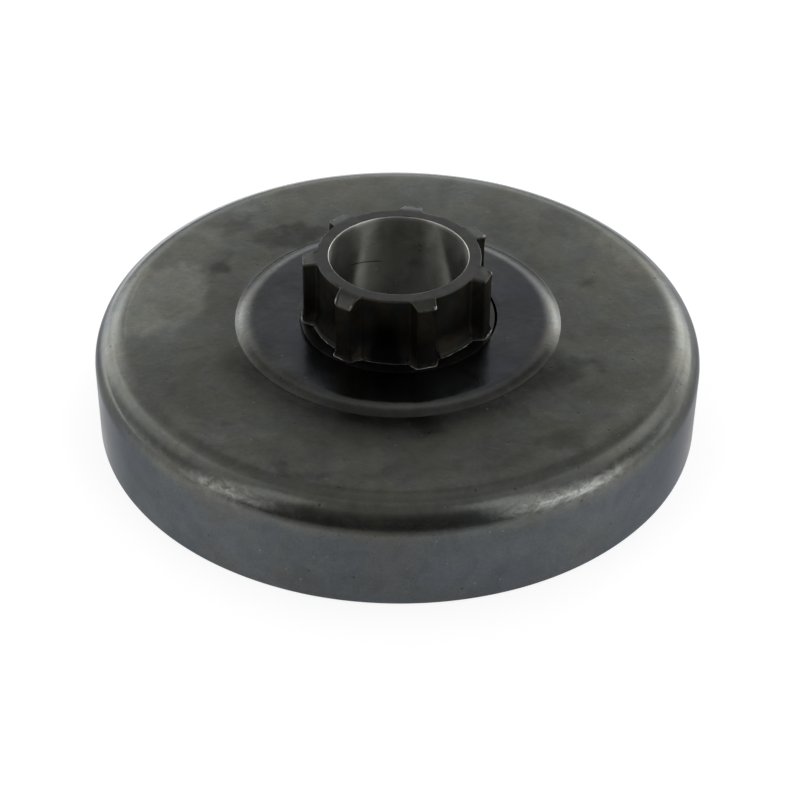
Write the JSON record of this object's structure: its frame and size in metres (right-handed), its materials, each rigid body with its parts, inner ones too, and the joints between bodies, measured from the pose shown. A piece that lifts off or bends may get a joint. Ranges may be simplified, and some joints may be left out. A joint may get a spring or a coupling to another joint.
{
  "type": "chainsaw clutch drum with splined hub",
  "caption": "Shallow pressed steel clutch drum with a splined hub in its raised middle that carries a rim sprocket, and a round bore for a needle bearing.",
  "frame": {"origin": "on the axis, in the plane of the drum's open rim", "axes": "+Z along the axis, from the open rim towards the end of the spline; one spline tooth points 30 degrees from +X towards +Y"},
  "size_m": [0.071, 0.071, 0.0215],
  "materials": {
    "drum_steel": "dark oxide on pressed steel sheet, half gloss, with scuffs and handling marks",
    "hub_steel": "near-black oxide on turned and milled steel, with bright edges and a turned bore",
    "braze": "darkened copper filler metal"
  },
  "bodies": {
    "root": {"drum_shell": "drum_steel", "splined_hub": "hub_steel", "braze_fillet": "braze"}
  },
  "joints": []
}
